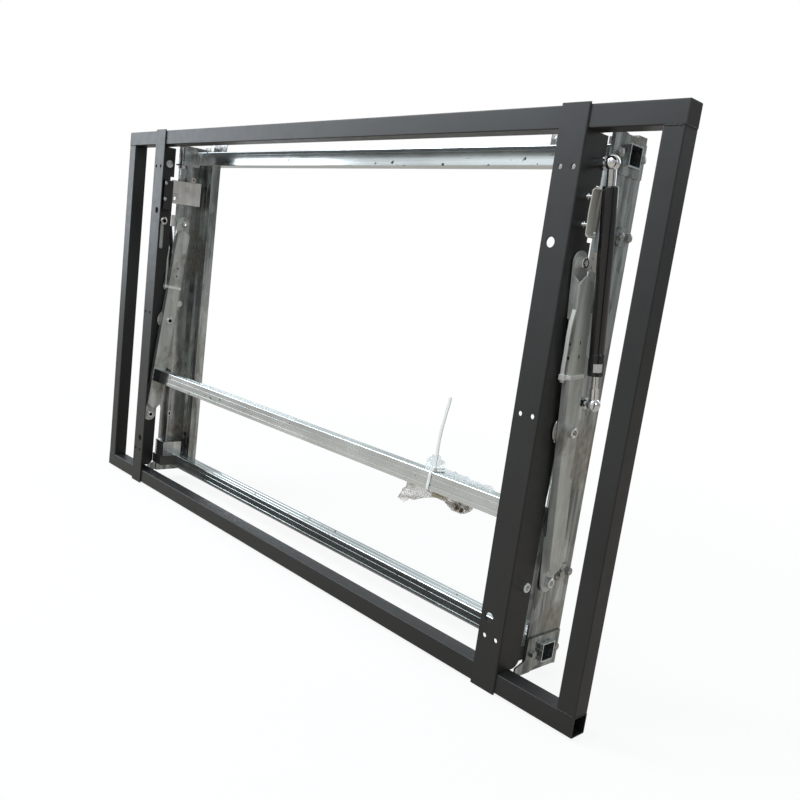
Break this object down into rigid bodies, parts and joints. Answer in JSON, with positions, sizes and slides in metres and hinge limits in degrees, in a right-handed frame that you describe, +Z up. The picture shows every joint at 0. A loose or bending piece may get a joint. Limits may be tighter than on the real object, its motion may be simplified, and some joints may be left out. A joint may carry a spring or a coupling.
{
  "type": "hydraulic screen mount",
  "caption": "Wall mount for a flat video-wall panel whose front frame slides out on scissor arms with gas springs and press locks, shown closed.",
  "frame": {"origin": "centre of the mount on the wall plane, midway between the wall fixing holes", "axes": "+X to the viewer's right, +Y from the front towards the wall, +Z up, the front faces -Y"},
  "size_m": [1.213, 0.12, 0.688],
  "materials": {
    "black_powder_coat": "fine matte black powder coat",
    "galvanised_steel": "spangled galvanised sheet, satin",
    "ribbed_bar": "pale grooved bar, satin",
    "zinc_bolt": "bright zinc-plated fasteners",
    "machined_steel": "turned steel, semi-bright",
    "chromed_joint": "bright chrome",
    "cylinder_black": "gloss black",
    "black_plastic": "matte black plastic",
    "pale_cover": "warm pale grey, satin",
    "white_nylon": "translucent white nylon",
    "clear_bag": "clear film"
  },
  "bodies": {
    "wall_side": {"wall_stud_left": "galvanised_steel", "wall_stud_right": "galvanised_steel", "cross_bar_upper": "ribbed_bar", "cross_bar_lower": "ribbed_bar", "rear_rail_left": "galvanised_steel", "rear_rail_right": "galvanised_steel", "end_plates_left": "galvanised_steel", "end_plates_right": "galvanised_steel", "tie_straps": "galvanised_steel", "foot_brackets": "galvanised_steel", "foot_pads": "black_plastic", "hanger_brackets": "galvanised_steel", "level_screws": "zinc_bolt", "top_brackets": "galvanised_steel", "lock_strikes": "pale_cover", "wall_frame_bolts": "zinc_bolt", "rear_pivot_bolts": "zinc_bolt", "lower_ball_studs": "machined_steel"},
    "screen_side": {"frame_top": "black_powder_coat", "frame_bottom": "black_powder_coat", "frame_left": "black_powder_coat", "frame_right": "black_powder_coat", "frame_end_caps": "black_plastic", "front_angle_left": "black_powder_coat", "front_angle_right": "black_powder_coat", "upper_ball_studs": "machined_steel", "lock_body_left": "black_powder_coat", "lock_body_right": "black_powder_coat", "lock_covers": "pale_cover", "lock_screws": "zinc_bolt", "lock_pins": "zinc_bolt", "front_pivot_bolts": "zinc_bolt"},
    "outer_scissor_right": {"outer_arm_right": "galvanised_steel", "outer_slide_pin_right": "machined_steel", "centre_pivot_right": "machined_steel", "outer_arm_tie": "white_nylon"},
    "outer_scissor_left": {"outer_arm_left": "galvanised_steel", "outer_slide_pin_left": "machined_steel", "centre_pivot_left": "machined_steel"},
    "inner_scissors": {"inner_arm_left": "galvanised_steel", "inner_arm_right": "galvanised_steel", "middle_bar": "ribbed_bar", "inner_slide_pins": "machined_steel", "inner_pivot_discs": "machined_steel", "inner_arm_ties": "white_nylon", "fixings_bag": "clear_bag"},
    "lock_right": {"lock_pawl_right": "machined_steel"},
    "lock_left": {"lock_pawl_left": "machined_steel"},
    "gas_rod_right": {"spring_rod_right": "machined_steel", "spring_lower_socket_right": "chromed_joint"},
    "gas_rod_left": {"spring_rod_left": "machined_steel", "spring_lower_socket_left": "chromed_joint"},
    "gas_cylinder_right": {"spring_cylinder_right": "cylinder_black", "spring_gland_right": "cylinder_black", "spring_upper_joint_right": "chromed_joint"},
    "gas_cylinder_left": {"spring_cylinder_left": "cylinder_black", "spring_gland_left": "cylinder_black", "spring_upper_joint_left": "chromed_joint"}
  },
  "joints": [
    {"name": "scissor_right", "type": "hinge", "parent": "wall_side", "child": "outer_scissor_right", "pos_m": [0.4957, -0.052, -0.208], "axis": [1, 0, 0], "range_deg": [0, 23.79]},
    {"name": "scissor_left", "type": "hinge", "parent": "wall_side", "child": "outer_scissor_left", "pos_m": [-0.4957, -0.052, -0.208], "axis": [1, 0, 0], "range_deg": [0, 23.8]},
    {"name": "scissor_cross", "type": "hinge", "parent": "outer_scissor_right", "child": "inner_scissors", "pos_m": [0.49, -0.073, -0.015], "axis": [-1, 0, 0], "range_deg": [0, 47.6]},
    {"name": "frame_guide", "type": "hinge", "parent": "inner_scissors", "child": "screen_side", "pos_m": [0.4865, -0.094, -0.208], "axis": [1, 0, 0], "range_deg": [0, 23.8]},
    {"name": "spring_swing_right", "type": "hinge", "parent": "wall_side", "child": "gas_rod_right", "pos_m": [0.5135, -0.047, 0.019], "axis": [1, 0, 0], "range_deg": [0, 26.9]},
    {"name": "spring_stroke_right", "type": "slide", "parent": "gas_rod_right", "child": "gas_cylinder_right", "axis": [0, -0.1662, 0.9861], "range_m": [0, 0.0612]},
    {"name": "lock_turn_right", "type": "hinge", "parent": "screen_side", "child": "lock_right", "pos_m": [0.4835, -0.092, 0.227], "axis": [-1, 0, 0], "range_deg": [0, 25], "stiffness_Nm_per_rad": 0.05, "springref_deg": -17.19},
    {"name": "spring_swing_left", "type": "hinge", "parent": "wall_side", "child": "gas_rod_left", "pos_m": [-0.5135, -0.047, 0.019], "axis": [1, 0, 0], "range_deg": [0, 26.9]},
    {"name": "spring_stroke_left", "type": "slide", "parent": "gas_rod_left", "child": "gas_cylinder_left", "axis": [0, -0.1662, 0.9861], "range_m": [0, 0.0612]},
    {"name": "lock_turn_left", "type": "hinge", "parent": "screen_side", "child": "lock_left", "pos_m": [-0.4835, -0.092, 0.227], "axis": [-1, 0, 0], "range_deg": [0, 25], "stiffness_Nm_per_rad": 0.05, "springref_deg": -17.19}
  ],
  "couplings": [
    {"joint": "scissor_left", "follows": "scissor_right", "ratio": 1},
    {"joint": "scissor_cross", "follows": "scissor_right", "ratio": 2},
    {"joint": "frame_guide", "follows": "scissor_right", "ratio": 1},
    {"joint": "spring_swing_right", "follows": "scissor_right", "ratio": 1.1296},
    {"joint": "spring_swing_left", "follows": "scissor_right", "ratio": 1.1296},
    {"joint": "spring_stroke_right", "follows": "scissor_right", "m_per_rad": 0.14722},
    {"joint": "spring_stroke_left", "follows": "scissor_right", "m_per_rad": 0.14722}
  ]
}
